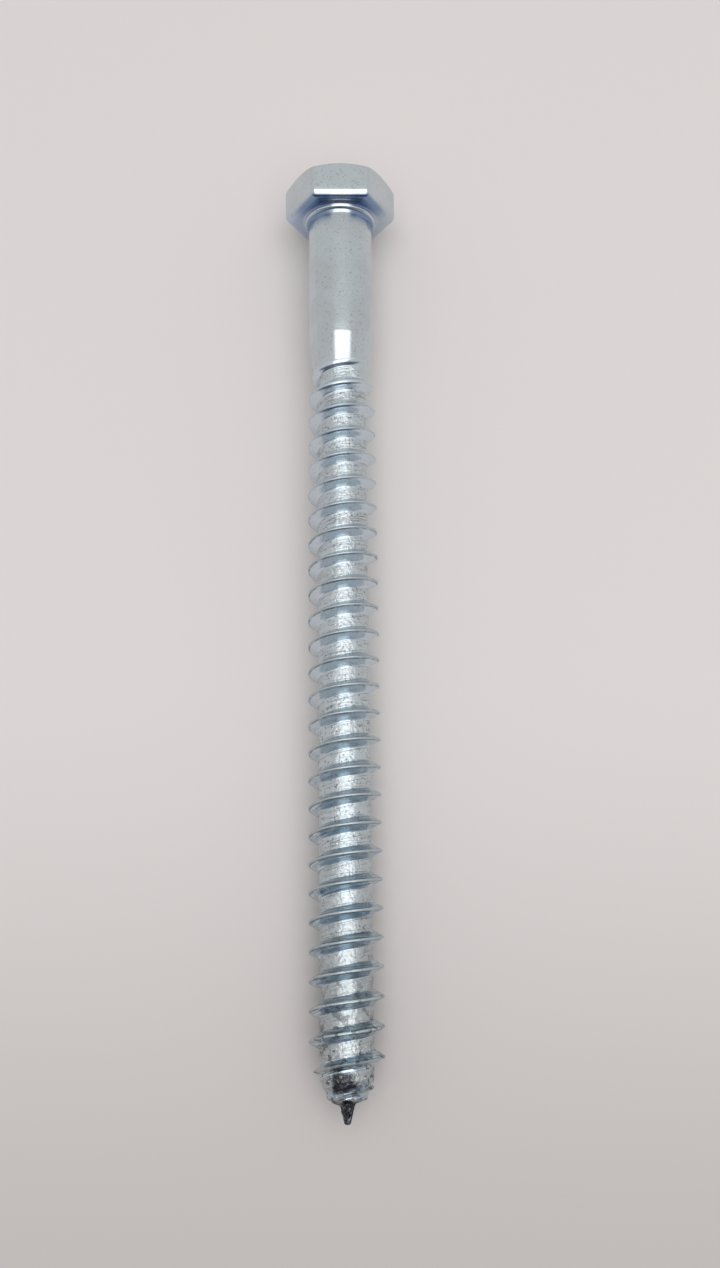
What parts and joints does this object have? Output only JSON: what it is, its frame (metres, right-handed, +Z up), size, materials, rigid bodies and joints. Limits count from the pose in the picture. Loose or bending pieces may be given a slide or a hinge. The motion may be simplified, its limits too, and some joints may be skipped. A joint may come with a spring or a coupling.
{
  "type": "lag screw",
  "caption": "Hex-head lag screw for wood: plain shank under a collared head, coarse sharp right-hand thread and a gimlet point.",
  "frame": {"origin": "centre of the footprint, on the surface that the screw lies on", "axes": "+Y along the screw towards its head, +Z up, +X to the right with the head pointing away; the point is towards -Y and dips about 1.1 degrees, as the screw rests"},
  "size_m": [0.016, 0.1312, 0.0142],
  "materials": {
    "zinc_plate": "clear zinc plate with a faint blue passivation, semi-bright, over rolled steel"
  },
  "bodies": {
    "root": {"lag_screw": "zinc_plate"}
  },
  "joints": []
}
